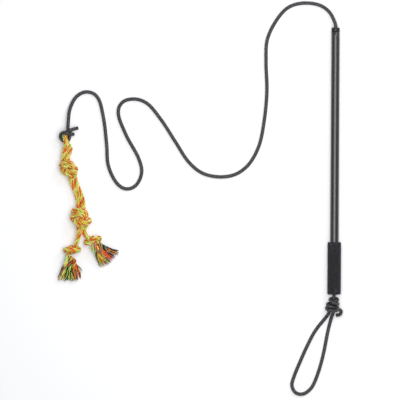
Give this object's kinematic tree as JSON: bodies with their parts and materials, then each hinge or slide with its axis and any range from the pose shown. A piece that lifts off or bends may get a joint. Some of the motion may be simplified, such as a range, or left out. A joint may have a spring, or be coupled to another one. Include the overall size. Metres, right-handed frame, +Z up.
{
  "type": "dog training stick",
  "caption": "Slim tapered pole with a foam grip and a wrist loop; an elastic cord through it carries a knotted cotton chew rope with frayed ends.",
  "frame": {"origin": "the flat that the foam grip rests on, under the middle of the grip", "axes": "+Y along the pole over the floor towards its tip, +Z up, +X to the right with the grip nearest the viewer; the toy lies on the -X side"},
  "size_m": [0.6545, 0.9028, 0.0422],
  "materials": {
    "tube": "black anodised, satin",
    "plug": "moulded black, fine grain",
    "foam": "closed-cell foam, matte, charcoal",
    "cord": "braided elastic cord, black with grey flecks",
    "cotton": "twisted cotton in orange, yellow and lime",
    "yarn": "loose cotton yarn in orange, yellow, green, pink and black"
  },
  "bodies": {
    "pole": {"pole_tube": "tube", "tip_plug": "plug", "butt_plug": "plug", "foam_grip": "foam", "inner_cord": "cord", "bungee_cord": "cord"},
    "wrist": {"wrist_cord": "cord", "wrist_knot": "cord", "wrist_loop": "cord"},
    "hitch": {"toy_hitch": "cord"},
    "toy": {"rope_bight": "cotton", "upper_knot_left": "cotton", "upper_knot_right": "cotton", "neck_left": "cotton", "neck_right": "cotton", "lower_knot_left": "cotton", "lower_knot_right": "cotton", "left_leg": "cotton", "right_leg": "cotton", "left_end_knot": "cotton", "right_end_knot": "cotton", "left_tassel": "yarn", "right_tassel": "yarn"}
  },
  "joints": [
    {"name": "wrist_swing", "type": "hinge", "parent": "pole", "child": "wrist", "pos_m": [0, -0.06, 0.01528], "axis": [0, 0, 1], "range_deg": [-20, 20]},
    {"name": "hitch_swing", "type": "hinge", "parent": "pole", "child": "hitch", "pos_m": [-0.6108, 0.321, 0.013], "axis": [0, 0, 1], "range_deg": [-50, 22]},
    {"name": "toy_lift", "type": "hinge", "parent": "hitch", "child": "toy", "pos_m": [-0.6151, 0.2877, 0.0159], "axis": [-0.9781, -0.2079, 0], "range_deg": [0, 90]}
  ]
}
